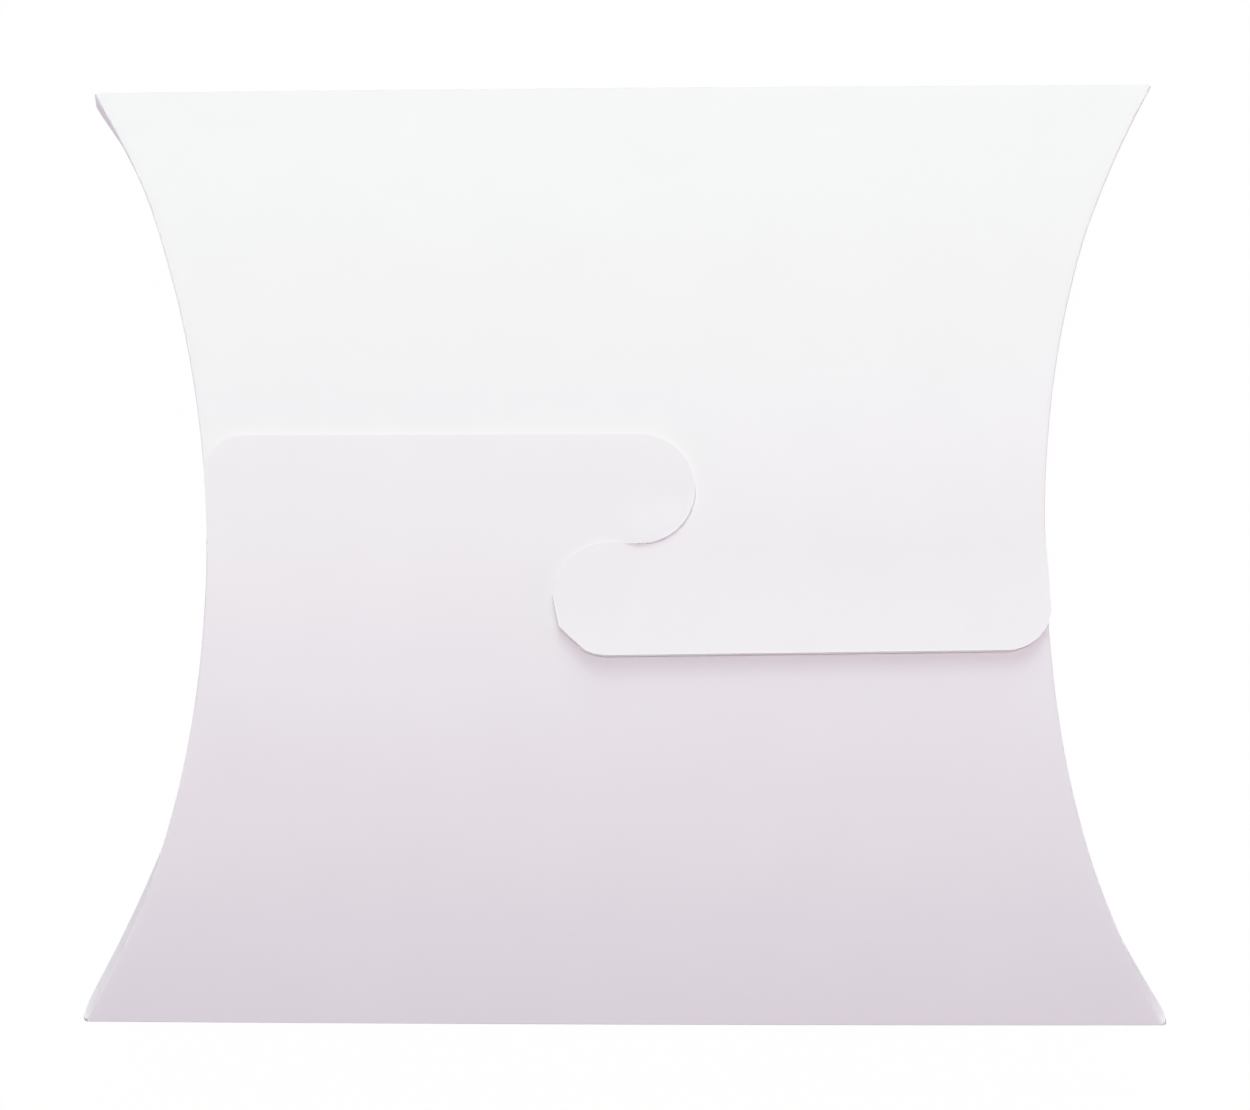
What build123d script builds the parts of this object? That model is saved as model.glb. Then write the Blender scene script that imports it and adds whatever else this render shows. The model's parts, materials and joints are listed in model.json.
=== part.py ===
from build123d import *
import os
from math import acos, asin, atan, cos, pi, sin, sqrt

# Pillow box of white card, lying on its back, lengths in millimetres.
# +X runs along the straight creases, +Y from the lower to the upper crease,
# +Z out of the front. The origin is under the middle of the box, on the table.

# Box
box_width = 165.0  # between the front's corners, along a straight crease
box_height = 146.0  # between the two straight creases
front_bulge = 19.0  # rise of the front at its lock above the straight creases
back_bulge = 19.0  # fall of the back below the straight creases
waist_inset = 19.0  # how far a curved end crease draws in at half height
rest_strip_width = 12.0  # strip of the back that the table presses flat

# Card
card_thickness = 0.45
crease_gap = 0.1  # between two pieces that meet at a crease
layer_gap = 0.1  # between two pieces that lie one on the other

# Lock in the middle of the front, one tab and one tongue on each half
tab_reach = 16.8  # how far a tab runs past the lock line
tab_corner_radius = 6.0
notch_width = 8.0  # from the lock line back to a half's hidden edge
tongue_centre = 2.4  # from the middle of the box to the centre of a tongue's end
tongue_climb = 4.8  # width over which a tongue climbs onto the other half
cut_gap = 0.15  # from the lock line to the long edge of a tongue

# Outer end flaps, which the back carries
ear_flare = 0.6  # how much further out an outer flap stands at its ends
outer_flap_end_gap = 0.5  # from a straight crease to the end of an outer flap

# Tuck flaps, which the two halves of the front carry
tuck_depth = 14.0  # at the waist, narrowing to nothing at the corner
tuck_waist_gap = 1.5  # from the lock line, or a hidden edge, to a tuck flap
tuck_corner_gap = 4.0  # from a straight crease to a tuck flap
tuck_corner_radius = 5.0

# Worked out: the plan
half_width = box_width / 2
half_height = box_height / 2
half_card = card_thickness / 2
waist_x = half_width - waist_inset
overrun = box_width  # how far the cutting shapes reach past the middle


def radius_from_rise(half_chord, rise):
    """Radius of the arc that rises this much over this half chord."""
    return (half_chord**2 + rise**2) / (2 * rise)


end_crease_radius = radius_from_rise(half_height, waist_inset)
end_crease_centre_x = waist_x + end_crease_radius
outer_flap_radius = radius_from_rise(half_height, waist_inset + ear_flare)
outer_flap_centre_x = waist_x + layer_gap + outer_flap_radius

# Worked out: the back's arc, whose centre is above it
back_radius = radius_from_rise(half_height, back_bulge)
back_outer_radius = back_radius + half_card
rest_cut = back_outer_radius - sqrt(back_outer_radius**2 - (rest_strip_width / 2) ** 2)
crease_z = back_bulge + half_card - rest_cut
back_centre_z = crease_z - back_bulge + back_radius
back_end_angle = asin(half_height / back_radius)

# Worked out: the front's arcs. Each half is still rising where it passes the
# lock line, so its tab clears the other half's hidden edge by a layer gap.
lock_slope = atan((card_thickness + layer_gap) / (2 * notch_width))
front_radius = (half_height**2 + front_bulge**2) / (
    2 * (front_bulge * cos(lock_slope) - half_height * sin(lock_slope))
)
lock_z = crease_z + front_bulge
front_centre_y = -front_radius * sin(lock_slope)
front_centre_z = lock_z - front_radius * cos(lock_slope)
front_crease_angle = acos((half_height - front_centre_y) / front_radius)

# Worked out: the fold at a straight crease. The front starts just outside the
# roll of the fold, and far enough along for its inner corner to clear the back.
fold_roll_radius = card_thickness
fold_angle = back_end_angle + pi / 2 - front_crease_angle
front_start = max(
    fold_roll_radius + crease_gap,
    (crease_gap + half_card * (1 + cos(fold_angle))) / sin(fold_angle),
)

# Worked out: a tongue ends a card and a layer gap above the level of its tab
tongue_rise = card_thickness + layer_gap
tongue_end_radius = (tab_reach - cut_gap) / 2
tongue_root_x = tongue_climb / 2


def arc_band(centre, radius, start, end):
    """Card seen edge on, along an arc between two angles in radians."""
    middle = Vector(*centre)

    def at(distance, angle):
        return middle + Vector(cos(angle), sin(angle)) * distance

    inner, outer = radius - half_card, radius + half_card
    halfway = (start + end) / 2
    outer_face = ThreePointArc(at(outer, start), at(outer, halfway), at(outer, end))
    inner_face = ThreePointArc(at(inner, end), at(inner, halfway), at(inner, start))
    ends = [
        Line(at(outer, end), at(inner, end)),
        Line(at(inner, start), at(outer, start)),
    ]
    return make_face([outer_face, inner_face, *ends])


def outline_of(points):
    """Closed outline through points given in order."""
    return make_face(Polyline(*points, close=True))


def along_x(profile):
    """A profile drawn in the YZ plane, carried past both ends of the box."""
    return extrude(Plane.YZ * profile, amount=overrun, both=True)


def column(outline):
    """An outline drawn in plan, carried up and down past the whole box."""
    return extrude(outline, amount=overrun, both=True)


def both_ends(centre_x, radius):
    """The two discs outside the box whose rims are its curved ends in plan."""
    return [Pos(side * centre_x, 0) * Circle(radius) for side in (-1, 1)]


def turned(piece):
    """The same piece on the other half of the box, half a turn about +Z."""
    return Rot(0, 0, 180) * piece


def front_disc(inwards):
    """Disc under one front half's arc, its rim this far inside the card's middle."""
    return Pos(front_centre_y, front_centre_z) * Circle(front_radius - inwards)


def back_panel():
    """The whole back, with the round roll of the fold along each straight crease."""
    bottom = -pi / 2
    card = arc_band(
        (0, back_centre_z), back_radius, bottom - back_end_angle, bottom + back_end_angle
    )
    for side in (-1, 1):
        card += Pos(side * half_height, crease_z) * Circle(fold_roll_radius)
    above_table = Pos(0, overrun) * Rectangle(2 * overrun, 2 * overrun)
    outline = Rectangle(2 * overrun, 2 * overrun)
    outline -= both_ends(outer_flap_centre_x, outer_flap_radius + crease_gap)
    return along_x(card & above_table) & column(outline)


def upper_front_panel():
    """Upper half of the front, with its tab on the right and its notch on the left."""
    start = front_crease_angle + front_start / front_radius
    card = arc_band(
        (front_centre_y, front_centre_z), front_radius, start, pi / 2 - lock_slope
    )
    card += free_end()
    panel = Pos(0, notch_width + overrun) * Rectangle(2 * overrun, 2 * overrun)
    tab = Pos(tongue_root_x, -tab_reach) * Rectangle(
        overrun, tab_reach + notch_width, align=Align.MIN
    )
    outline = panel + tab
    outline -= both_ends(end_crease_centre_x, end_crease_radius)
    tab_corner = outline.vertices().sort_by(Axis.Y)[:2].sort_by(Axis.X)[-1]
    outline = fillet(tab_corner, tab_corner_radius)
    return along_x(card) & column(outline)


def free_end():
    """Card past the lock line, straight and still rising, seen edge on."""
    lock = Vector(0, lock_z)
    forward = Vector(-cos(lock_slope), sin(lock_slope)) * (2 * tab_reach)
    outward = Vector(sin(lock_slope), cos(lock_slope)) * half_card
    return outline_of(
        [lock + outward, lock - outward, lock + forward - outward, lock + forward + outward]
    )


def upper_lock_tongue():
    """Round tongue on the end of the upper tab, which climbs onto the lower half."""
    along_tab = Plane(
        origin=(0, 0, lock_z), x_dir=(1, 0, 0), z_dir=(0, -cos(lock_slope), sin(lock_slope))
    )
    tip_x = -(tongue_centre + 2 * tongue_end_radius)
    middle = [(tongue_root_x, 0), (-tongue_root_x, tongue_rise), (tip_x, tongue_rise)]
    upper_face = [(x, level + half_card) for x, level in middle]
    lower_face = [(x, level - half_card) for x, level in reversed(middle)]
    plate = extrude(along_tab * outline_of(upper_face + lower_face), amount=2 * tab_reach)
    width = tab_reach - cut_gap
    middle_y = -(tab_reach + cut_gap) / 2
    strip = Pos(tongue_root_x, middle_y) * Rectangle(
        tongue_root_x + tongue_centre, width, align=(Align.MAX, Align.CENTER)
    )
    end = Pos(-tongue_centre, middle_y) * Circle(tongue_end_radius)
    return plate & column(strip + end)


def right_outer_flap():
    """Right end flap of the back: a curved wall, as tall as the box at each place."""
    radius = outer_flap_radius - half_card
    reach = asin((half_height - outer_flap_end_gap) / radius)
    wall = arc_band((outer_flap_centre_x, 0), radius, pi - reach, pi + reach)
    inside = Pos(0, back_centre_z) * Circle(back_outer_radius)
    inside &= front_disc(-half_card)
    inside &= Pos(-front_centre_y, front_centre_z) * Circle(front_radius + half_card)
    inside &= Pos(0, overrun + crease_gap) * Rectangle(2 * overrun, 2 * overrun)
    return column(wall) & along_x(inside)


def right_tuck_flap(start_y):
    """Right end flap of the upper front half, from start_y almost to the corner."""
    radius = end_crease_radius + crease_gap + half_card
    reach = asin((half_height - tuck_corner_gap) / radius)
    wall = arc_band((end_crease_centre_x, 0), radius, pi - reach, pi)
    depth_at_start = front_bulge - tuck_depth
    lower_edge = [(start_y, crease_z + depth_at_start * (1 - start_y / half_height))]
    side = outline_of(
        lower_edge + [(half_height, crease_z), (half_height, lock_z), (start_y, lock_z)]
    )
    corner = side.vertices().sort_by(Axis.X)[:2].sort_by(Axis.Y)[0]
    side = fillet(corner, tuck_corner_radius)
    side &= front_disc(half_card + crease_gap)
    return column(wall) & along_x(side)


upper_right_tuck = right_tuck_flap(tuck_waist_gap)
upper_left_tuck = mirror(right_tuck_flap(notch_width + tuck_waist_gap), about=Plane.YZ)
right_outer = right_outer_flap()
upper_front = upper_front_panel()
upper_tongue = upper_lock_tongue()

nodes = {
    "back_panel": back_panel(),
    "upper_front_panel": upper_front,
    "lower_front_panel": turned(upper_front),
    "upper_lock_tongue": upper_tongue,
    "lower_lock_tongue": turned(upper_tongue),
    "right_outer_flap": right_outer,
    "left_outer_flap": turned(right_outer),
    "upper_right_tuck_flap": upper_right_tuck,
    "lower_left_tuck_flap": turned(upper_right_tuck),
    "upper_left_tuck_flap": upper_left_tuck,
    "lower_right_tuck_flap": turned(upper_left_tuck),
}

os.makedirs("parts", exist_ok=True)
for name, piece in nodes.items():
    export_step(piece, f"parts/{name}.step")
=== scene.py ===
"""Pillow box of white card, closed, lying on its back on a white studio floor.

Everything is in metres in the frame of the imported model: +X along the straight creases,
+Y from the lower to the upper crease, +Z out of the front. The box is one sheet of folded
card, so each piece is a thin sheet worked out on a grid and then given its thickness.
"""

import json
import logging
from dataclasses import dataclass, field
from enum import Enum

import bpy
import numpy as np
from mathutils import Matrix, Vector


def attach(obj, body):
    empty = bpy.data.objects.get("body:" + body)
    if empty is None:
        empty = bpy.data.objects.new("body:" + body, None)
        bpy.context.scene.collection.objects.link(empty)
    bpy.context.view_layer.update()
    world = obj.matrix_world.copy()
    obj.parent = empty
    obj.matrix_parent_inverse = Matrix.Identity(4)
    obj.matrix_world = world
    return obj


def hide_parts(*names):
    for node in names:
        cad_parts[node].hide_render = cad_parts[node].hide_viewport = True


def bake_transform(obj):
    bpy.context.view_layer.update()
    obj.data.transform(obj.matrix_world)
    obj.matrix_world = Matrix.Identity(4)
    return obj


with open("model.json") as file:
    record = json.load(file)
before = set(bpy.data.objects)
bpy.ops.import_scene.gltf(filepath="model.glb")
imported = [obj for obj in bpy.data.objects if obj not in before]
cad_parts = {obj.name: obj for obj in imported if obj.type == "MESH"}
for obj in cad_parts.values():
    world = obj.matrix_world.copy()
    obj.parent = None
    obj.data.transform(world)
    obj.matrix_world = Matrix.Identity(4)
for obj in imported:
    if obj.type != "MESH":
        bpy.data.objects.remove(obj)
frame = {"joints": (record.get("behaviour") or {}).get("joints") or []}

log = logging.getLogger("pillow_box")

MM = 0.001
# Point attribute of a painted highlight: it whitens the cut edges that face away from the lights.
PAINTED_HIGHLIGHT = "painted_edge_highlight"


class Side(Enum):
    """An end of the box, by the sign of its X."""

    LEFT = -1
    RIGHT = 1


class Half(Enum):
    """A half of the front, by the sign of its Y."""

    LOWER = -1
    UPPER = 1


def smooth_step(value: np.ndarray, start: float, end: float) -> np.ndarray:
    """Rises smoothly from 0 at start to 1 at end.

    Args:
        value: where it is wanted.
        start: where the rise begins.
        end: where the rise ends, on either side of start.

    Returns:
        t * t * (3 - 2 * t), with t the share of the way from start to end.
    """
    t = np.clip((np.asarray(value, float) - start) / (end - start), 0.0, 1.0)
    return t * t * (3.0 - 2.0 * t)


@dataclass(frozen=True)
class BoxForm:
    """The closed box's sizes, and the height and reach of its panels at each place."""

    half_width: float
    half_height: float
    waist_x: float
    crease_z: float
    lock_z: float
    card: float = 0.45 * MM
    layer_gap: float = 0.1 * MM
    notch_width: float = 8.0 * MM
    rest_strip: float = 12.0 * MM

    @classmethod
    def from_frame(cls, joints: list[dict]) -> "BoxForm":
        """Reads the sizes from where the creases' axes lie.

        Args:
            joints: the frame's joints, in metres.

        Returns:
            The sizes that these axes were worked out from.
        """
        place = {joint["name"]: Vector(joint["pos_m"]) for joint in joints}
        crease = place["upper_front_crease"]
        outer = place["right_outer_flap_crease"]
        tuck = place["upper_right_tuck_flap_crease"]
        waist_x = outer.x - cls.layer_gap
        return cls(
            half_width=2.0 * tuck.x - waist_x,
            half_height=crease.y,
            waist_x=waist_x,
            crease_z=crease.z,
            lock_z=2.0 * tuck.z - crease.z,
        )

    @property
    def half_card(self) -> float:
        """Half the card's thickness."""
        return self.card / 2.0

    @property
    def lock_rise(self) -> float:
        """Rise per length of a front half where it passes the lock line."""
        return (self.card + self.layer_gap) / (2.0 * self.notch_width)

    @property
    def front_arc(self) -> tuple[float, float, float]:
        """The upper half's arc, through the crease, with the lock's slope at its top.

        Returns:
            Its radius, from chord^2 + bulge^2 over twice the lean, and its centre's Y and Z.
        """
        slope = np.arctan(self.lock_rise)
        bulge = self.lock_z - self.crease_z
        lean = bulge * np.cos(slope) - self.half_height * np.sin(slope)
        radius = (self.half_height**2 + bulge**2) / (2.0 * lean)
        return radius, -radius * np.sin(slope), self.lock_z - radius * np.cos(slope)

    def front_z(self, y: np.ndarray) -> np.ndarray:
        """Height of the middle of the upper half's card.

        Args:
            y: distance above the lock line.

        Returns:
            The height of the arc.
        """
        radius, centre_y, centre_z = self.front_arc
        return centre_z + np.sqrt(radius**2 - (y - centre_y) ** 2)

    def back_z(self, y: np.ndarray) -> np.ndarray:
        """Height of the middle of the back's card: an arc, pressed flat where it rests.

        Args:
            y: distance from the middle of the box, of either sign.

        Returns:
            lowest + radius - sqrt(radius^2 - y^2), and half a card's height on the strip.
        """
        half_chord, bulge = self.half_height, self.lock_z - self.crease_z
        radius = (half_chord**2 + bulge**2) / (2.0 * bulge)
        arc = self.crease_z - bulge + radius - np.sqrt(radius**2 - np.square(y))
        flat = smooth_step(np.abs(y), self.rest_strip, self.rest_strip / 2.0)
        return arc + flat * (self.half_card - arc)

    def end_x(self, y: np.ndarray) -> np.ndarray:
        """Distance of the curved end crease from the middle of the box, an arc in plan.

        Args:
            y: distance from the waist, of either sign.

        Returns:
            waist + radius - sqrt(radius^2 - y^2).
        """
        inset = self.half_width - self.waist_x
        radius = (self.half_height**2 + inset**2) / (2.0 * inset)
        return self.waist_x + radius - np.sqrt(radius**2 - np.square(y))


@dataclass(frozen=True)
class HandFolding:
    """How far folding by hand has drawn each corner of the front from its true place."""

    form: BoxForm
    upper_left: tuple[float, float] = (-0.01 * MM, -1.42 * MM)
    upper_right: tuple[float, float] = (-0.82 * MM, -0.14 * MM)
    lower_left: tuple[float, float] = (0.29 * MM, 0.97 * MM)
    lower_right: tuple[float, float] = (-0.14 * MM, 0.39 * MM)
    crease_bow: float = 0.17 * MM

    def moved(self, points: np.ndarray) -> np.ndarray:
        """Draws points along with the corners.

        Args:
            points: rows of x, y and z on the true box.

        Returns:
            The points shifted in plan by the four corners' shifts, mixed bilinearly,
            and outwards by the bow of the straight creases, (1 - x^2) * y of it with x
            and y from -1 to 1.
        """
        u = (points[..., 0] / self.form.half_width + 1.0) / 2.0
        v = (points[..., 1] / self.form.half_height + 1.0) / 2.0
        shift = (
            ((1 - u) * v)[..., None] * np.array(self.upper_left)
            + (u * v)[..., None] * np.array(self.upper_right)
            + ((1 - u) * (1 - v))[..., None] * np.array(self.lower_left)
            + (u * (1 - v))[..., None] * np.array(self.lower_right)
        )
        shift[..., 1] += self.crease_bow * 4.0 * u * (1.0 - u) * (2.0 * v - 1.0)
        return np.concatenate([points[..., :2] + shift, points[..., 2:]], axis=-1)


class Face(Enum):
    """The faces of the card, as material slots of every piece."""

    PRINT = 0
    INSIDE = 1
    CUT = 2


def grid_quads(rows: int, columns: int, mask: np.ndarray | None = None) -> np.ndarray:
    """Quads of a grid of points that is stored row by row.

    Args:
        rows: number of rows of points.
        columns: number of points in a row.
        mask: which cells there are, one fewer each way than the points, or all.

    Returns:
        One row of four point numbers a cell, turning from down to right.
    """
    number = np.arange(rows * columns).reshape(rows, columns)
    cells = np.stack(
        [number[:-1, :-1], number[1:, :-1], number[1:, 1:], number[:-1, 1:]], axis=-1
    )
    return cells.reshape(-1, 4) if mask is None else cells[mask]


def normals_of(points: np.ndarray, quads: np.ndarray) -> np.ndarray:
    """Unit normals of a surface of quads.

    Args:
        points: rows of x, y and z.
        quads: rows of four point numbers.

    Returns:
        At each point the sum of its quads' crossed diagonals, brought to length one.
    """
    first = points[quads[:, 2]] - points[quads[:, 0]]
    second = points[quads[:, 3]] - points[quads[:, 1]]
    flat = np.cross(first, second)
    total = np.zeros_like(points)
    for corner in range(4):
        np.add.at(total, quads[:, corner], flat)
    return total / np.maximum(np.linalg.norm(total, axis=1, keepdims=True), 1e-20)


@dataclass
class CardSheet:
    """A sheet of card: points of its middle surface, and their quads.

    Each point may have a painted highlight, from 0 to 1, that whitens its colour, and a spread,
    which is how far the inside face reaches past the middle there, as it does where the die has
    sloped a cut edge.
    """

    points: np.ndarray
    quads: np.ndarray
    painted_highlight: np.ndarray | None = None
    spread: np.ndarray | None = None

    def trimmed(self) -> "CardSheet":
        """Leaves out the points that no quad uses.

        Returns:
            The same sheet with its points renumbered, and a wear and a spread for each.
        """
        painted_highlight = np.zeros(len(self.points)) if self.painted_highlight is None else self.painted_highlight
        spread = np.zeros_like(self.points) if self.spread is None else self.spread
        used, renumbered = np.unique(self.quads, return_inverse=True)
        quads = renumbered.reshape(self.quads.shape)
        return CardSheet(self.points[used], quads, painted_highlight[used], spread[used])

    def thickened(self, thickness: float) -> tuple[np.ndarray, np.ndarray, np.ndarray]:
        """Gives the sheet its thickness.

        Args:
            thickness: of the card.

        Returns:
            Points, quads and each quad's face of the card. The points are the middle
            ones moved half the thickness along their normals each way, the inner ones
            also by their spread, and a quad closes each edge that only one cell has.
        """
        normal = normals_of(self.points, self.quads) * (thickness / 2.0)
        count = len(self.points)
        edges = np.concatenate([self.quads[:, [i, (i + 1) % 4]] for i in range(4)])
        _, first, uses = np.unique(
            np.sort(edges, axis=1), axis=0, return_index=True, return_counts=True
        )
        start, end = edges[first[uses == 1]].T
        rim = np.stack([end, start, start + count, end + count], axis=1)
        quads = np.concatenate([self.quads, self.quads[:, ::-1] + count, rim])
        faces = np.repeat(
            [Face.PRINT.value, Face.INSIDE.value, Face.CUT.value],
            [len(self.quads), len(self.quads), len(rim)],
        )
        inner = self.points - normal + self.spread
        return np.concatenate([self.points + normal, inner]), quads, faces


def hex_colour(code: str) -> tuple[float, float, float, float]:
    """Linear colour of an sRGB hex code.

    Args:
        code: six hex digits after a hash.

    Returns:
        Red, green and blue, each linear, and an alpha of 1.
    """
    channels = [int(code[i : i + 2], 16) / 255.0 for i in (1, 3, 5)]
    linear = [c / 12.92 if c <= 0.04045 else ((c + 0.055) / 1.055) ** 2.4 for c in channels]
    return (*linear, 1.0)


def emptied(block: bpy.types.Material | bpy.types.World) -> bpy.types.NodeTree:
    """Turns on the nodes of a material or world and clears them away."""
    block.use_nodes = True
    block.node_tree.nodes.clear()
    return block.node_tree


def add_node(
    tree: bpy.types.NodeTree, kind: str, inputs: dict | None = None, **settings: object
) -> bpy.types.Node:
    """Adds a node with its settings and links.

    Args:
        tree: the material's or world's nodes.
        kind: the node's type, such as ShaderNodeTexNoise.
        inputs: value or output socket for each input, by its name or number.
        settings: the node's own settings.

    Returns:
        The new node.
    """
    node = tree.nodes.new(kind)
    for name, value in settings.items():
        setattr(node, name, value)
    for name, value in (inputs or {}).items():
        if isinstance(value, bpy.types.NodeSocket):
            tree.links.new(value, node.inputs[name])
        else:
            node.inputs[name].default_value = value
    return node


@dataclass(frozen=True)
class CardFinish:
    """A face of folding box board: its colour, how it scatters light, and its grain."""

    name: str
    colour: str
    mottle_colour: str
    mottle_size: float
    roughness: float
    specular: float
    grain_size: float
    grain_depth: float
    mottle_detail: float = 3.0
    grain_detail: float = 2.0
    speck_spacing: float = 34.0 * MM
    speck_size: float = 0.22 * MM
    speck_colour: str = "#DDD8DB"
    # Colour of the painted highlight, laid on the cut edges that face away from the lights.
    painted_highlight_colour: str = "#FFFEFF"

    def material(self) -> bpy.types.Material:
        """Builds the finish from nodes.

        Returns:
            Its material. Mottling, specks and a painted highlight along some cut edges are layers
            of colour, each over the last, and the grain is bump.
        """
        material = bpy.data.materials.new(self.name)
        tree = emptied(material)
        place = add_node(tree, "ShaderNodeTexCoord").outputs["Object"]
        mottle = add_node(
            tree,
            "ShaderNodeTexNoise",
            {"Vector": place, "Scale": 1.0 / self.mottle_size, "Detail": self.mottle_detail},
        )
        grain = add_node(
            tree,
            "ShaderNodeTexNoise",
            {"Vector": place, "Scale": 1.0 / self.grain_size, "Detail": self.grain_detail},
        )
        spot = add_node(
            tree,
            "ShaderNodeTexVoronoi",
            {"Vector": place, "Scale": 1.0 / self.speck_spacing},
            feature="F1",
        )
        speck_share = self.speck_size / self.speck_spacing
        speck = add_node(
            tree,
            "ShaderNodeMapRange",
            {
                "Value": spot.outputs["Distance"],
                "From Min": speck_share / 2.0,
                "From Max": speck_share,
                "To Min": 1.0,
                "To Max": 0.0,
            },
        )
        # Painted highlight: whiter along the cut edges that face away from the lights.
        painted_highlight = add_node(tree, "ShaderNodeAttribute", attribute_name=PAINTED_HIGHLIGHT)
        layers = (
            (mottle.outputs["Fac"], self.mottle_colour),
            (speck.outputs["Result"], self.speck_colour),
            (painted_highlight.outputs["Fac"], self.painted_highlight_colour),
        )
        colour = hex_colour(self.colour)
        for share, over in layers:
            mix = add_node(
                tree,
                "ShaderNodeMix",
                {"Factor": share, "A": colour, "B": hex_colour(over)},
                data_type="RGBA",
            )
            colour = mix.outputs["Result"]
        bump = add_node(
            tree,
            "ShaderNodeBump",
            {"Height": grain.outputs["Fac"], "Strength": 1.0, "Distance": self.grain_depth},
        )
        shader = add_node(
            tree,
            "ShaderNodeBsdfPrincipled",
            {
                "Base Color": colour,
                "Roughness": self.roughness,
                "Specular IOR Level": self.specular,
                "Normal": bump.outputs["Normal"],
            },
        )
        add_node(tree, "ShaderNodeOutputMaterial", {"Surface": shader.outputs["BSDF"]})
        return material


# Folding box board, clay coated and calendered on its print side. To the eye it is a
# smooth, matt, very slightly mauve white with hardly any sheen. Its coating is finer than
# a pixel, so its grain is drawn about ten times as coarse, and it clouds over a centimetre
# or so. Specks of dust lie on it, about three centimetres apart.
COATED_FACE = CardFinish(
    name="clay_coated_board",
    colour="#F9F6F9",
    mottle_colour="#F6F3F6",
    mottle_size=14.0 * MM,
    roughness=0.62,
    specular=0.35,
    grain_size=0.6 * MM,
    grain_depth=0.004 * MM,
)
# The same board's uncoated side, pressed wood pulp as it left the mill. It is a warmer and
# duller white, rough and without sheen. Its fibres are about 0.05 mm wide, and the grain
# is drawn ten times as coarse, so that it shows.
INSIDE_FACE = CardFinish(
    name="uncoated_board",
    colour="#F5F1EE",
    mottle_colour="#EFEAE6",
    mottle_size=3.0 * MM,
    roughness=0.85,
    specular=0.2,
    grain_size=0.5 * MM,
    grain_depth=0.02 * MM,
)
# The board's core where the die has cut through it: bare pulp, a greyer white than the
# faces. Where the cut faces the lower crease, away from the lights, a painted highlight makes it
# whiter.
CUT_EDGE = CardFinish(
    name="die_cut_board_edge",
    colour="#C9C4C8",
    mottle_colour="#BDB8BC",
    mottle_size=0.5 * MM,
    roughness=0.9,
    specular=0.1,
    grain_size=0.25 * MM,
    grain_depth=0.02 * MM,
)


@dataclass
class CardStock:
    """The board that the box is cut from, with its three finishes made once."""

    form: BoxForm
    folding: HandFolding
    materials: list[bpy.types.Material] = field(default_factory=list)
    edge_round: float = 0.03 * MM
    edge_segments: int = 2
    sharp_angle: float = 40.0

    def __post_init__(self) -> None:
        """Makes the finishes, in the order of the card's faces."""
        self.materials = [f.material() for f in (COATED_FACE, INSIDE_FACE, CUT_EDGE)]

    def piece(
        self, name: str, sheet: CardSheet, beads: tuple[CardSheet, ...] = ()
    ) -> bpy.types.Object:
        """Makes a piece of card.

        Args:
            name: of the new object.
            sheet: its middle surface on the true box, print side up.
            beads: closed surfaces of folds that belong to it, already thick.

        Returns:
            An object with its place in its mesh and its finishes in their slots.
        """
        sheet = sheet.trimmed()
        sheet.points = self.folding.moved(sheet.points)
        points, quads, faces = sheet.thickened(self.form.card)
        # Each point's share of painted highlight, on both faces of the card.
        painted_highlight = np.tile(sheet.painted_highlight, 2)
        for bead in beads:
            quads = np.concatenate([quads, bead.quads + len(points)])
            faces = np.concatenate([faces, np.full(len(bead.quads), Face.PRINT.value)])
            points = np.concatenate([points, self.folding.moved(bead.points)])
            painted_highlight = np.concatenate([painted_highlight, np.zeros(len(bead.points))])
        mesh = bpy.data.meshes.new(name)
        mesh.from_pydata(points, [], quads)
        mesh.polygons.foreach_set("material_index", faces.astype(np.int32))
        for material in self.materials:
            mesh.materials.append(material)
        mesh.attributes.new(PAINTED_HIGHLIGHT, "FLOAT", "POINT").data.foreach_set("value", painted_highlight)
        mesh.update()
        mesh.shade_smooth()
        mesh.set_sharp_from_angle(angle=np.radians(self.sharp_angle))
        piece = bpy.data.objects.new(name, mesh)
        bpy.context.scene.collection.objects.link(piece)
        bevel = piece.modifiers.new("rounded cut edge", "BEVEL")
        bevel.width = self.edge_round
        bevel.segments = self.edge_segments
        bevel.limit_method = "ANGLE"
        bevel.angle_limit = np.radians(self.sharp_angle)
        bevel.harden_normals = True
        log.info("%s: %d points, %d quads", name, len(points), len(quads))
        return piece


@dataclass(frozen=True)
class FoldRoll:
    """The rounding of the card along a curved end crease."""

    radius: float = 0.03 * MM
    steps: int = 4

    def columns(self, left: np.ndarray, right: np.ndarray, count: int) -> np.ndarray:
        """Spreads columns from left to right, with a few close ones at each end.

        Args:
            left: the left edge's place in each row.
            right: the right edge's place in each row.
            count: number of even columns between the two rolls.

        Returns:
            Shares of the way across as rows by columns. Within a roll's radius of an
            edge they stand at radius * (1 - sin(angle)) from it.
        """
        angle = np.linspace(0.0, np.pi / 2.0, self.steps)[::-1]
        inset = self.radius * (1.0 - np.sin(angle))
        width = (right - left)[:, None]
        start = inset[None, :] / width
        middle = np.linspace(0.0, 1.0, count + 2)[None, 1:-1]
        margin = self.radius / width
        middle = margin + middle * (1.0 - 2.0 * margin)
        return np.concatenate([start, middle, 1.0 - start[:, ::-1]], axis=1)

    def drop(self, from_edge: np.ndarray) -> np.ndarray:
        """Fall of a quarter round that ends upright at the edge.

        Args:
            from_edge: distance from the edge.

        Returns:
            radius - sqrt(radius^2 - (radius - distance)^2) within the radius, else 0.
        """
        inward = np.clip(self.radius - from_edge, 0.0, self.radius)
        return self.radius - np.sqrt(self.radius**2 - inward**2)

    def share(self, form: BoxForm, y: np.ndarray) -> np.ndarray:
        """How much of the roll there is room for at each distance from the waist.

        Args:
            form: the box.
            y: distance from the waist, of either sign.

        Returns:
            The height between back and front over the height of two rolls, 1 at most.
        """
        room = form.front_z(np.abs(y)) - form.back_z(y)
        return np.clip(room / (2.0 * self.radius), 0.0, 1.0)


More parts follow.
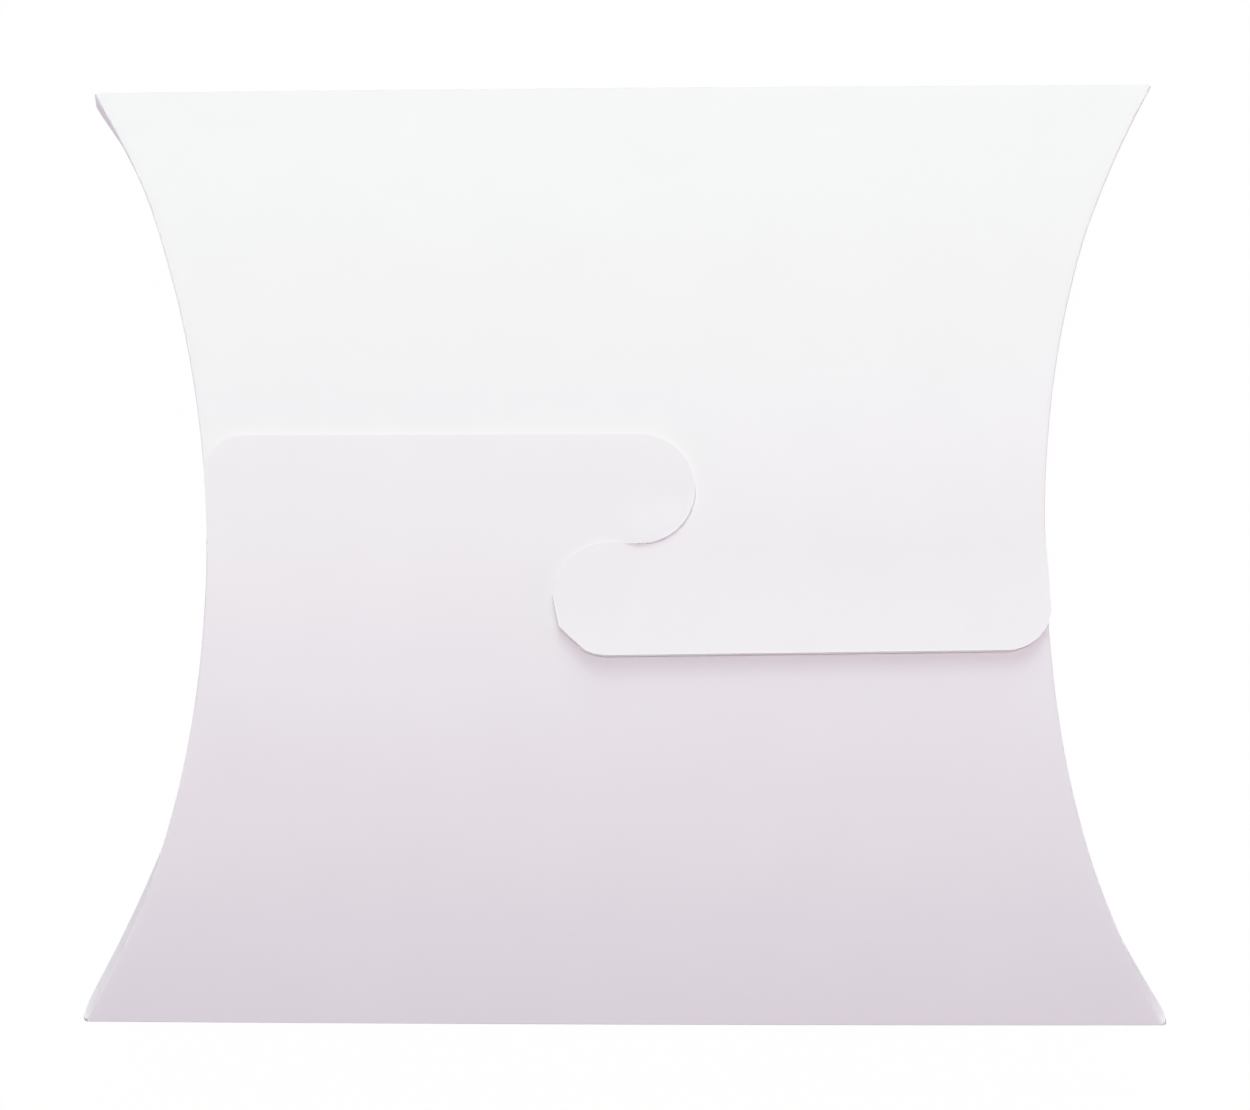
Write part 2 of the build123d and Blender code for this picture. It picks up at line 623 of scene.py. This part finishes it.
@dataclass(frozen=True)
class Ear:
    """How far an outer flap's root stands out from the true end crease near one corner."""

    reach: float = 0.0
    start: float = 60.0 * MM
    end: float = 71.0 * MM
    tip_length: float = 2.0 * MM
    tip_reach: float = 0.0
    tip_curve: float = 1.0

    def offset(self, y: np.ndarray, half_height: float) -> np.ndarray:
        """How far the root stands out at each distance from the waist.

        Args:
            y: distance from the waist, of either sign.
            half_height: distance from the waist to the straight crease.

        Returns:
            A smooth rise to the reach. Along the tip the reach falls to the tip's own as
            (1 - p^k)^(1/k), with p the share of the tip's length and k its curve.
        """
        far = np.abs(y)
        past = np.clip((far - half_height) / self.tip_length + 1.0, 0.0, 1.0)
        fall = (1.0 - past**self.tip_curve) ** (1.0 / self.tip_curve)
        reach = self.tip_reach + (self.reach - self.tip_reach) * fall
        return reach * smooth_step(far, self.start, self.end)


@dataclass(frozen=True)
class Swell:
    """A stretch of an end where folding has pushed the edge out, or in if negative."""

    height: float
    centre: float
    width: float

    def offset(self, y: np.ndarray) -> np.ndarray:
        """A bell curve: height * exp(-((y - centre) / width)^2)."""
        return self.height * np.exp(-(((y - self.centre) / self.width) ** 2))


@dataclass(frozen=True)
class EndShape:
    """One end of the box in plan: where its front, its flaps and its ears reach to."""

    side: Side
    form: BoxForm
    upper_ear: Ear
    lower_ear: Ear
    swells: tuple[Swell, ...]
    clear: float = 0.03 * MM
    soften: float = 0.05 * MM

    def edge_x(self, y: np.ndarray) -> np.ndarray:
        """The front's outermost face: the arc of the end crease with its swells."""
        return self.form.end_x(y) + sum(swell.offset(y) for swell in self.swells)

    def fold_x(self, y: np.ndarray) -> np.ndarray:
        """Middle of the card where the front's end is folded down, and of the outer flap's top."""
        return self.edge_x(y) - self.form.half_card

    def root_x(self, y: np.ndarray) -> np.ndarray:
        """Middle of the outer flap's root, which stands further out at the ears.

        Args:
            y: distance above the waist.

        Returns:
            The larger of the fold's place f and the ear's place e, softened where they
            cross: (f + e) / 2 + sqrt(((f - e) / 2)^2 + s^2), less s. The ear stands out
            from the true crease, or from the fold where that is pushed in.
        """
        form = self.form
        upper = self.upper_ear.offset(y, form.half_height)
        lower = self.lower_ear.offset(y, form.half_height)
        fold = self.fold_x(y)
        base = np.minimum(form.end_x(y) - form.half_card, fold)
        ear = base + np.where(y > 0.0, upper, lower)
        return (fold + ear) / 2.0 + np.hypot((fold - ear) / 2.0, self.soften) - self.soften

    def tuck_x(self, y: np.ndarray) -> np.ndarray:
        """Middle of the tuck flap, just inside the outer flap."""
        return self.fold_x(y) - self.form.card - self.clear


@dataclass
class FrontHalf:
    """Half of the front: its panel, and past the lock line its tab and round tongue.

    It is worked out as the upper half, with the tab on the right, and turned half round
    about +Z where it is the lower one.
    """

    half: Half
    stock: CardStock
    tab_end: EndShape
    notch_end: EndShape
    tab_reach: float = 16.8 * MM
    tab_slant: float = 0.0
    corner_radius: float = 7.0 * MM
    nicks: tuple[float, ...] = ()
    nick_depth: float = 0.16 * MM
    nick_width: float = 0.3 * MM
    tongue_centre: float = 2.4 * MM
    tongue_facets: tuple[float, ...] = ()
    tongue_lift: float = 0.5 * MM
    tongue_end_lift: float = 0.0
    tongue_settle: float = 8.0 * MM
    tab_end_rise: float = 0.0
    tab_overhang: float = 0.0
    root_x: float = 2.4 * MM
    cut_gap: float = -0.06 * MM
    # How far in from the cut edges the painted highlight runs, and how soon it fades round the
    # tongue towards the edges that face the lights.
    painted_highlight_width: float = 0.3 * MM
    painted_highlight_turn: float = 0.25
    cut_slope: float = 0.22 * MM
    unfold_width: float = 2.0 * MM
    overhang_start: float = 6.0 * MM
    overhang_end: float = -8.0 * MM
    roll_end: float = 3.0 * MM
    slant_start: float = -4.0 * MM
    bend_start: float = 1.1 * MM
    bend_end: float = 3.8 * MM
    crease_columns: int = 56
    panel_rows: int = 70
    notch_rows: int = 8
    tongue_rows: int = 64
    roll: FoldRoll = field(default_factory=FoldRoll)

    def tongue_edge(self, y: np.ndarray) -> np.ndarray:
        """Left edge of the round tongue: half a circle, with chords where it has facets.

        Args:
            y: rows from the lock line to the end of the tab.

        Returns:
            The edge's X in each row.
        """
        radius = (self.tab_reach - self.cut_gap) / 2.0
        centre_y = -(self.tab_reach + self.cut_gap) / 2.0
        up = np.clip((y - centre_y) / radius, -1.0, 1.0)
        reach = radius * np.sqrt(1.0 - up**2)
        for start, end in zip(self.tongue_facets[:-1], self.tongue_facets[1:]):
            first, last = np.radians(start), np.radians(end)
            middle, share = (first + last) / 2.0, np.cos((last - first) / 2.0)
            chord = (radius * share - (y - centre_y) * np.sin(middle)) / -np.cos(middle)
            inside = (up <= np.sin(first)) & (up >= np.sin(last))
            reach = np.where(inside, chord, reach)
        return -self.tongue_centre - reach

    def right_edge(self, y: np.ndarray) -> np.ndarray:
        """Right edge of the panel and its tab, with the tab's round corner.

        Args:
            y: rows from the straight crease to the end of the tab.

        Returns:
            The end crease's X, less radius - sqrt(radius^2 - d^2) in the corner, with d
            the distance past the corner's start, and less a small bell at each nick.
        """
        form, along = self.stock.form, y * self.half.value
        on_tab = smooth_step(y, self.unfold_width, -self.unfold_width)
        edge = self.tab_end.fold_x(along) + on_tab * form.half_card
        hang = smooth_step(y, self.overhang_start, self.overhang_end)
        edge = edge + self.tab_overhang * hang
        from_end = y + self.tab_reach
        for place in self.nicks:
            bell = np.exp(-(((from_end - place) / self.nick_width) ** 2))
            edge = edge - self.nick_depth * bell
        past = np.clip(self.corner_radius - from_end, 0.0, self.corner_radius)
        return edge - (self.corner_radius - np.sqrt(self.corner_radius**2 - past**2))

    def height(self, y: np.ndarray) -> np.ndarray:
        """Height of the middle of the half's card, apart from its tongue.

        Args:
            y: rows from the straight crease to the end of the tab.

        Returns:
            The front's arc above the lock line. Past it, at a distance s, it goes on as
            r * s + (e - r) * s^2 / (2 * reach), with r the rise there and e at the end.
        """
        form = self.stock.form
        past = np.maximum(-y, 0.0)
        bend = (self.tab_end_rise - form.lock_rise) / (2.0 * self.tab_reach)
        return form.front_z(np.maximum(y, 0.0)) + form.lock_rise * past + bend * past**2

    def lift(self, x: np.ndarray, y: np.ndarray) -> np.ndarray:
        """How far the tongue climbs: smoothly across its root, less towards its far side.

        Args:
            x: columns of each row.
            y: rows from the straight crease to the end of the tab.

        Returns:
            The climb across the root, times the lift, which passes smoothly from the
            tongue's own at the lock line to its end's over the length of the settling.
        """
        climb = smooth_step(x, self.root_x, -self.root_x)
        settled = smooth_step(-y, 0.0, self.tongue_settle)
        return climb * (
            self.tongue_lift + (self.tongue_end_lift - self.tongue_lift) * settled
        )

    def painted_highlight(self, x: np.ndarray, y: np.ndarray, left: np.ndarray) -> np.ndarray:
        """How much a painted highlight whitens the card along the cut edges that face the lower
        crease and the camera, away from the lights.

        Args:
            x: columns of each row.
            y: rows from the straight crease to the end of the tab.
            left: the left edge's X in each row.

        Returns:
            1 on the edges of the tab and tongue that face the lower crease, falling to 0
            over the width, and 0 on those that face the upper one.
        """
        radius = (self.tab_reach - self.cut_gap) / 2.0
        up = (y[:, None] + (self.tab_reach + self.cut_gap) / 2.0) / radius
        in_round = x < -self.tongue_centre
        from_round = radius * (1.0 - np.abs(up))
        from_tongue = np.where(in_round, np.minimum(x - left[:, None], radius), from_round)
        from_end = self.tab_reach + y[:, None]
        near = np.where(x < self.root_x, from_tongue, from_end)
        facing = smooth_step(-self.half.value * up, -self.painted_highlight_turn, self.painted_highlight_turn)
        return np.where(y[:, None] < 0.0, facing, 0.0) * smooth_step(near, self.painted_highlight_width, 0.0)

    def spread(self, x: np.ndarray, y: np.ndarray, painted_highlight: np.ndarray) -> np.ndarray:
        """How far the inside face reaches past the middle at the cut edges.

        Args:
            x: columns of each row.
            y: rows from the straight crease to the end of the tab.
            painted_highlight: share of painted highlight at each point.

        Returns:
            The slope of the cut times the square of the painted highlight's share, away from the
            tongue's centre, or across the lock line where there is no round.
        """
        radius = (self.tab_reach - self.cut_gap) / 2.0
        up = np.clip((y + (self.tab_reach + self.cut_gap) / 2.0) / radius, -1.0, 1.0)[:, None]
        aside = np.where(x < -self.tongue_centre, -np.sqrt(1.0 - up**2), 0.0)
        out = np.stack([aside, np.broadcast_to(up, x.shape), np.zeros_like(x)], axis=-1)
        out[..., 1] = np.where(x < -self.tongue_centre, out[..., 1], np.sign(up))
        return self.cut_slope * (painted_highlight**2)[..., None] * out

    def sheet(self) -> CardSheet:
        """The half's middle surface, as one grid in two blocks of columns.

        The left block ends where the tongue is rooted. It has no cells in the rows of
        the notch, where the other half's tab lies.

        Returns:
            The sheet in its place on the true box.
        """
        form = self.stock.form
        angle = np.linspace(0.0, np.pi, self.tongue_rows)
        middle = -(self.tab_reach + self.cut_gap) / 2.0
        tongue = middle + (self.tab_reach - self.cut_gap) / 2.0 * np.cos(angle)
        panel = np.linspace(form.half_height, form.notch_width, self.panel_rows)
        notch = np.linspace(form.notch_width, tongue[0], self.notch_rows + 2)[1:-1]
        y = np.concatenate([panel, notch, tongue])
        in_tongue = np.arange(len(y)) >= len(panel) + len(notch)
        panel_left = -self.notch_end.fold_x(y * self.half.value)
        left = np.where(in_tongue, self.tongue_edge(y), panel_left)
        right = self.right_edge(y)
        root = np.full_like(y, self.root_x)
        left_share = self.roll.columns(left, root, self.crease_columns)
        right_share = self.roll.columns(root, right, self.crease_columns)[:, 1:]
        x = np.concatenate(
            [
                left[:, None] + left_share * (root - left)[:, None],
                root[:, None] + right_share * (right - root)[:, None],
            ],
            axis=1,
        )
        rows, columns = x.shape
        z = np.repeat(self.height(y)[:, None], columns, axis=1)
        z = z + np.where(in_tongue[:, None], self.lift(x, y[:, None]), 0.0)
        room = self.roll.share(form, np.maximum(y, 0.0))
        left_fold = np.where(in_tongue, 0.0, room)[:, None]
        right_fold = (room * smooth_step(y, 0.0, self.roll_end))[:, None]
        z = z - left_fold * self.roll.drop(x - left[:, None])
        z = z - right_fold * self.roll.drop(right[:, None] - x)
        slant = self.tab_slant * (x - self.root_x) / form.waist_x
        slanted = smooth_step(y, self.slant_start, -self.tab_reach)[:, None]
        y_place = y[:, None] + slant * slanted
        cells = np.ones((rows - 1, columns - 1), bool)
        cells[len(panel) - 1 : len(panel) + len(notch), : left_share.shape[1] - 1] = False
        points = np.stack([x, y_place, z], axis=-1).reshape(-1, 3)
        points[:, :2] *= self.half.value
        # Painted highlight along the cut edges that face away from the lights.
        painted_highlight = self.painted_highlight(x, y, left)
        spread = self.spread(x, y, painted_highlight).reshape(-1, 3)
        spread[:, :2] *= self.half.value
        return CardSheet(points, grid_quads(rows, columns, cells), painted_highlight.reshape(-1), spread)

    def build(self) -> bpy.types.Object:
        """Makes the half, which stands for two nodes.

        Returns:
            Its object.
        """
        word = self.half.name.lower()
        piece = self.stock.piece(f"{word}_front_half", self.sheet())
        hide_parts(f"{word}_front_panel", f"{word}_lock_tongue")
        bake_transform(piece)
        return piece


@dataclass
class BackShell:
    """The back, with the round of the fold along each straight crease."""

    stock: CardStock
    left: EndShape
    right: EndShape
    rows: int = 150
    columns: int = 90
    bead_steps: int = 12
    bead_rings: int = 40
    dome_rings: int = 4
    dome_tip: float = 0.02
    roll: FoldRoll = field(default_factory=FoldRoll)

    def sheet(self) -> CardSheet:
        """The back's middle surface, whose ends roll up into the outer flaps.

        Returns:
            The sheet, a grid of rows from crease to crease, closer near the creases.
        """
        form = self.stock.form
        y = form.half_height * np.sin(np.linspace(-1.0, 1.0, self.rows) * np.pi / 2.0)
        left, right = -self.left.root_x(y), self.right.root_x(y)
        share = self.roll.columns(left, right, self.columns)
        x = left[:, None] + share * (right - left)[:, None]
        z = np.repeat(form.back_z(y)[:, None], x.shape[1], axis=1)
        fold = self.roll.share(form, y)[:, None]
        z = z + fold * self.roll.drop(x - left[:, None])
        z = z + fold * self.roll.drop(right[:, None] - x)
        points = np.stack([x, np.repeat(y[:, None], x.shape[1], axis=1), z], axis=-1)
        return CardSheet(points.reshape(-1, 3), grid_quads(*x.shape))

    def bead(self, half: Half) -> CardSheet:
        """The round of a straight fold: a tube half a card in radius, closed at its ends.

        Args:
            half: which crease it lies along.

        Returns:
            The tube, whose rings stand at even places and shrink to a dome at each end,
            where strips from one side of the last ring to the other close it.
        """
        form = self.stock.form
        radius = form.half_card
        dome = np.linspace(0.0, np.pi / 2.0, self.dome_rings, endpoint=False)
        corner = np.array([half.value * form.half_height])
        left, right = -self.left.root_x(corner)[0], self.right.root_x(corner)[0]
        inner = np.linspace(left + radius, right - radius, self.bead_rings)
        along = np.concatenate(
            [
                left + radius * (1.0 - np.cos(dome)),
                inner,
                right - radius * (1.0 - np.cos(dome[::-1])),
            ]
        )
        size = np.concatenate([np.sin(dome), np.ones(len(inner)), np.sin(dome[::-1])])
        size = np.maximum(size, self.dome_tip) * radius
        turn = np.arange(self.bead_steps) * 2.0 * np.pi / self.bead_steps
        ring_y = half.value * form.half_height + size[:, None] * np.cos(turn)
        ring_z = form.crease_z + size[:, None] * np.sin(turn)
        ring_x = np.repeat(along[:, None], len(turn), axis=1)
        points = np.stack([ring_x, ring_y, ring_z], axis=-1).reshape(-1, 3)
        number = np.arange(len(points)).reshape(ring_x.shape)
        beside = np.roll(number, -1, axis=1)
        wall = np.stack([number[:-1], beside[:-1], beside[1:], number[1:]], axis=-1)
        step = np.arange(self.bead_steps // 2 - 1)
        last = self.bead_steps - 1
        cap = np.stack([step, step + 1, last - 1 - step, last - step], axis=1)
        caps = [number[0][cap[:, ::-1]], number[-1][cap]]
        return CardSheet(points, np.concatenate([wall.reshape(-1, 4), *caps]))

    def build(self) -> bpy.types.Object:
        """Makes the back, which stands for its node.

        Returns:
            Its object.
        """
        beads = tuple(self.bead(half) for half in Half)
        piece = self.stock.piece("back_shell", self.sheet(), beads)
        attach(piece, "back")
        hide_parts("back_panel")
        return piece


@dataclass
class OuterFlap:
    """An outer end flap: a curved wall from the back's end crease up to the front."""

    stock: CardStock
    shape: EndShape
    columns: int = 150
    rows: int = 30
    end_gap: float = 0.05 * MM
    least_height: float = 0.02 * MM
    bend_width: float = 16.0 * MM
    roll: FoldRoll = field(default_factory=FoldRoll)

    def sheet(self) -> CardSheet:
        """The wall's middle surface: straight lines from its root to its top edge.

        Returns:
            The sheet, a grid of rows from the top edge down to the root.
        """
        form = self.stock.form
        reach = form.half_height - self.end_gap
        y = reach * np.sin(np.linspace(-1.0, 1.0, self.columns) * np.pi / 2.0)
        rolled = self.roll.share(form, y)
        low = form.back_z(y) + rolled * self.roll.radius
        high = form.front_z(np.abs(y)) - rolled * (self.roll.radius + self.shape.clear)
        high = np.maximum(high, low + self.least_height)
        share = np.linspace(1.0, 0.0, self.rows)[:, None]
        x = self.shape.fold_x(y) * share + self.shape.root_x(y) * (1.0 - share)
        z = high * share + low * (1.0 - share)
        points = np.stack([x, np.repeat(y[None, :], self.rows, axis=0), z], axis=-1)
        quads = grid_quads(self.rows, self.columns)
        points[..., 0] *= self.shape.side.value
        if self.shape.side is Side.LEFT:
            quads = quads[:, ::-1]
        return CardSheet(points.reshape(-1, 3), quads)

    def build(self) -> bpy.types.Object:
        """Makes the flap, which stands for its node.

        Returns:
            Its object.
        """
        word = self.shape.side.name.lower()
        piece = self.stock.piece(f"{word}_outer_flap_card", self.sheet())
        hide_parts(f"{word}_outer_flap")
        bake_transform(piece)
        return piece


@dataclass
class TuckFlap:
    """A tuck flap, which hangs from the end of a front half inside the outer flap."""

    stock: CardStock
    half: Half
    shape: EndShape
    depth: float = 14.0 * MM
    corner_gap: float = 4.0 * MM
    waist_gap: float = 1.5 * MM
    corner_radius: float = 5.0 * MM
    bend_width: float = 6.0 * MM
    columns: int = 70
    rows: int = 16
    corner_columns: int = 9

    def sheet(self) -> CardSheet:
        """The flap's middle surface, worked out for the upper half and its right end.

        Returns:
            The sheet in its own place. Its lower edge rises straight from the waist to
            the corner of the box, and its round corner is radius - sqrt(radius^2 - d^2).
        """
        form = self.stock.form
        side = self.shape.side.value
        on_tab = self.half.value * side > 0
        start = self.waist_gap + (0.0 if on_tab else form.notch_width)
        last = form.half_height - self.corner_gap
        turn = np.linspace(0.0, np.pi / 2.0, self.corner_columns, endpoint=False)
        y = np.concatenate(
            [
                start + self.corner_radius * (1.0 - np.cos(turn)),
                np.linspace(start + self.corner_radius, last, self.columns),
            ]
        )
        past = np.clip(self.corner_radius - (y - start), 0.0, self.corner_radius)
        rounding = self.corner_radius - np.sqrt(self.corner_radius**2 - past**2)
        high = form.front_z(y) - form.half_card - self.shape.clear
        spare = form.lock_z - form.crease_z - self.depth
        low = form.crease_z + spare * (1.0 - y / form.half_height) + rounding
        share = np.linspace(1.0, 0.0, self.rows)[:, None]
        z = high * share + low * (1.0 - share)
        along = y * self.half.value
        x = np.repeat(side * self.shape.tuck_x(along)[None, :], self.rows, axis=0)
        y_all = np.repeat(along[None, :], self.rows, axis=0)
        points = np.stack([x, y_all, z], axis=-1).reshape(-1, 3)
        quads = grid_quads(self.rows, len(y))
        return CardSheet(points, quads if on_tab else quads[:, ::-1])

    def build(self) -> bpy.types.Object:
        """Makes the flap, which stands for its node.

        Returns:
            Its object.
        """
        half, side = self.half.name.lower(), self.shape.side.name.lower()
        piece = self.stock.piece(f"{half}_{side}_tuck_flap_card", self.sheet())
        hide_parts(f"{half}_{side}_tuck_flap")
        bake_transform(piece)
        return piece


@dataclass
class PillowBox:
    """The whole box, closed."""

    form: BoxForm

    def build(self) -> list[bpy.types.Object]:
        """Makes every piece of the box.

        Returns:
            Their objects: the back, the outer flaps, the tuck flaps and the front halves.
        """
        stock = CardStock(self.form, HandFolding(self.form))
        left = EndShape(
            Side.LEFT,
            self.form,
            upper_ear=Ear(
                reach=0.82 * MM, start=64.0 * MM, end=71.3 * MM, tip_length=1.7 * MM
            ),
            lower_ear=Ear(
                reach=2.3 * MM,
                start=10.0 * MM,
                end=62.0 * MM,
                tip_length=8.0 * MM,
                tip_reach=0.75 * MM,
                tip_curve=2.4,
            ),
            swells=(
                Swell(0.36 * MM, 20.0 * MM, 20.0 * MM),
                Swell(0.27 * MM, -12.0 * MM, 18.0 * MM),
                Swell(-0.4 * MM, 57.0 * MM, 9.5 * MM),
                Swell(0.7 * MM, -70.0 * MM, 9.0 * MM),
            ),
        )
        right = EndShape(
            Side.RIGHT,
            self.form,
            upper_ear=Ear(),
            lower_ear=Ear(
                reach=1.68 * MM,
                start=38.0 * MM,
                end=73.0 * MM,
                tip_length=2.5 * MM,
                tip_reach=0.85 * MM,
                tip_curve=1.3,
            ),
            swells=(
                Swell(0.48 * MM, 14.0 * MM, 20.0 * MM),
                Swell(0.68 * MM, -12.0 * MM, 20.0 * MM),
                Swell(-0.17 * MM, 49.0 * MM, 7.0 * MM),
                Swell(-0.1 * MM, -48.0 * MM, 7.0 * MM),
                Swell(0.25 * MM, -66.0 * MM, 7.0 * MM),
            ),
        )
        upper = FrontHalf(
            Half.UPPER,
            stock,
            tab_end=right,
            notch_end=left,
            tab_reach=17.2 * MM,
            tab_slant=0.75 * MM,
            tab_overhang=0.43 * MM,
            nicks=(1.1 * MM, 2.5 * MM, 5.2 * MM),
            tab_end_rise=0.068,
            tongue_end_lift=0.12 * MM,
            tongue_settle=14.0 * MM,
            tongue_facets=(176.0, 209.2, 245.4),
        )
        lower = FrontHalf(
            Half.LOWER,
            stock,
            tab_end=left,
            notch_end=right,
            corner_radius=6.5 * MM,
            tab_end_rise=-0.055,
        )
        pieces = [
            BackShell(stock, left, right).build(),
            OuterFlap(stock, left).build(),
            OuterFlap(stock, right).build(),
        ]
        pieces += [TuckFlap(stock, half, end).build() for half in Half for end in (left, right)]
        return pieces + [upper.build(), lower.build()]


@dataclass(frozen=True)
class SoftBox:
    """A square soft light, aimed at the box from above.

    It hangs tilt degrees down from overhead, towards turn degrees round from +Y to +X. Its
    distance and size are in metres and its power in watts.
    """

    name: str
    turn: float
    tilt: float
    size: float
    power: float
    colour: tuple[float, float, float]
    distance: float = 3.0

    def build(self) -> None:
        """Hangs the light in its place, facing the middle of the box."""
        lamp = bpy.data.lights.new(self.name, "AREA")
        lamp.shape = "SQUARE"
        lamp.size = self.size
        lamp.energy = self.power
        lamp.color = self.colour
        light = bpy.data.objects.new(self.name, lamp)
        turn, tilt = np.radians(self.turn), np.radians(self.tilt)
        out = np.sin(tilt)
        away = Vector((out * np.sin(turn), out * np.cos(turn), np.cos(tilt)))
        light.location = self.distance * away
        light.rotation_euler = (-away).to_track_quat("-Z", "Y").to_euler()
        bpy.context.scene.collection.objects.link(light)


@dataclass
class Studio:
    """White floor, soft lights from overhead, the far side and both ends, and the camera.

    Together the lights fall off from the upper crease to the lower one, from white to a
    slightly mauve shade, and the two at the ends reach the outer flaps.
    """

    lights: tuple[SoftBox, ...] = (
        SoftBox(
            "overhead_soft_box",
            turn=180.0,
            tilt=1.5,
            size=0.3,
            power=40.0,
            colour=(0.985, 1.0, 0.905),
        ),
        SoftBox(
            "far_high_soft_box",
            turn=0.0,
            tilt=38.0,
            size=1.6,
            power=20.7,
            colour=(0.796, 0.956, 1.0),
        ),
        SoftBox(
            "far_low_soft_box",
            turn=0.0,
            tilt=62.0,
            size=2.2,
            power=29.5,
            colour=(0.738, 1.0, 0.633),
        ),
        SoftBox(
            "left_soft_box",
            turn=-105.0,
            tilt=84.0,
            size=1.4,
            power=12.0,
            colour=(1.0, 0.7, 1.0),
        ),
        SoftBox(
            "right_soft_box",
            turn=90.0,
            tilt=68.0,
            size=1.8,
            power=8.0,
            colour=(1.0, 0.4, 1.0),
        ),
    )
    ambient_colour: tuple[float, float, float] = (0.182, 0.131, 0.2)
    floor_half: float = 3.0
    floor_cover: float = 0.985
    paper_colour: str = "#F4F4F4"
    target: tuple[float, float, float] = (-0.055 * MM, -0.73 * MM, 25.0 * MM)
    camera_elevation: float = 85.16
    camera_distance: float = 1.2
    focal_pixels: float = 7799.9
    photo_width: int = 1250
    sensor: float = 36.0

    def floor_material(self) -> bpy.types.Material:
        """White paper sweep: plain white to the eye, with a trace of shade kept on it.

        Returns:
            A material that glows plain white to the camera and in gloss, over a share of
            the floor's own shading that keeps the box's shadow.
        """
        material = bpy.data.materials.new("white_paper_sweep")
        tree = emptied(material)
        path = add_node(tree, "ShaderNodeLightPath").outputs
        cover = path["Is Camera Ray"]
        for operation, value in (
            ("MAXIMUM", path["Is Glossy Ray"]),
            ("MAXIMUM", path["Is Transmission Ray"]),
            ("MULTIPLY", self.floor_cover),
        ):
            step = add_node(tree, "ShaderNodeMath", {0: cover, 1: value}, operation=operation)
            cover = step.outputs[0]
        paper = add_node(
            tree, "ShaderNodeBsdfDiffuse", {"Color": hex_colour(self.paper_colour)}
        )
        white = add_node(tree, "ShaderNodeEmission", {"Color": (1, 1, 1, 1), "Strength": 1.0})
        both = add_node(
            tree,
            "ShaderNodeMixShader",
            {"Fac": cover, 1: paper.outputs[0], 2: white.outputs[0]},
        )
        add_node(tree, "ShaderNodeOutputMaterial", {"Surface": both.outputs[0]})
        return material

    def build_floor(self) -> None:
        """Lays the floor under the box."""
        side = self.floor_half
        mesh = bpy.data.meshes.new("paper_sweep")
        corners = [(-side, -side, 0), (side, -side, 0), (side, side, 0), (-side, side, 0)]
        mesh.from_pydata(corners, [], [(0, 1, 2, 3)])
        mesh.materials.append(self.floor_material())
        floor = bpy.data.objects.new("paper_sweep", mesh)
        bpy.context.scene.collection.objects.link(floor)

    def build_world(self) -> None:
        """Gives even light from all round, and plain white where there is no floor to see."""
        world = bpy.data.worlds.new("light_tent")
        bpy.context.scene.world = world
        tree = emptied(world)
        path = add_node(tree, "ShaderNodeLightPath").outputs
        around = add_node(tree, "ShaderNodeBackground", {"Color": (*self.ambient_colour, 1.0)})
        white = add_node(tree, "ShaderNodeBackground", {"Color": (1.0, 1.0, 1.0, 1.0)})
        both = add_node(
            tree,
            "ShaderNodeMixShader",
            {"Fac": path["Is Camera Ray"], 1: around.outputs[0], 2: white.outputs[0]},
        )
        add_node(tree, "ShaderNodeOutputWorld", {"Surface": both.outputs[0]})

    def build_camera(self) -> None:
        """Sets the camera where the photograph was taken from, almost straight above."""
        lens = bpy.data.cameras.new("camera")
        lens.sensor_fit = "HORIZONTAL"
        lens.sensor_width = self.sensor
        lens.lens = self.focal_pixels * self.sensor / self.photo_width
        camera = bpy.data.objects.new("camera", lens)
        lift = np.radians(self.camera_elevation)
        away = Vector((0.0, -np.cos(lift), np.sin(lift)))
        camera.location = Vector(self.target) + self.camera_distance * away
        camera.rotation_euler = (-away).to_track_quat("-Z", "Y").to_euler()
        bpy.context.scene.collection.objects.link(camera)
        bpy.context.scene.camera = camera

    def build(self) -> None:
        """Sets up everything round the box."""
        bpy.context.scene.view_settings.view_transform = "Standard"
        self.build_floor()
        self.build_world()
        for light in self.lights:
            light.build()
        self.build_camera()


def main() -> None:
    """Builds the studio and the box, and logs how many pieces there are."""
    logging.basicConfig(level=logging.INFO, format="%(name)s: %(message)s")
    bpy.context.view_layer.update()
    form = BoxForm.from_frame(frame["joints"])
    Studio().build()
    pieces = PillowBox(form).build()
    log.info("%d pieces", len(pieces))


if __name__ == "__main__":
    main()
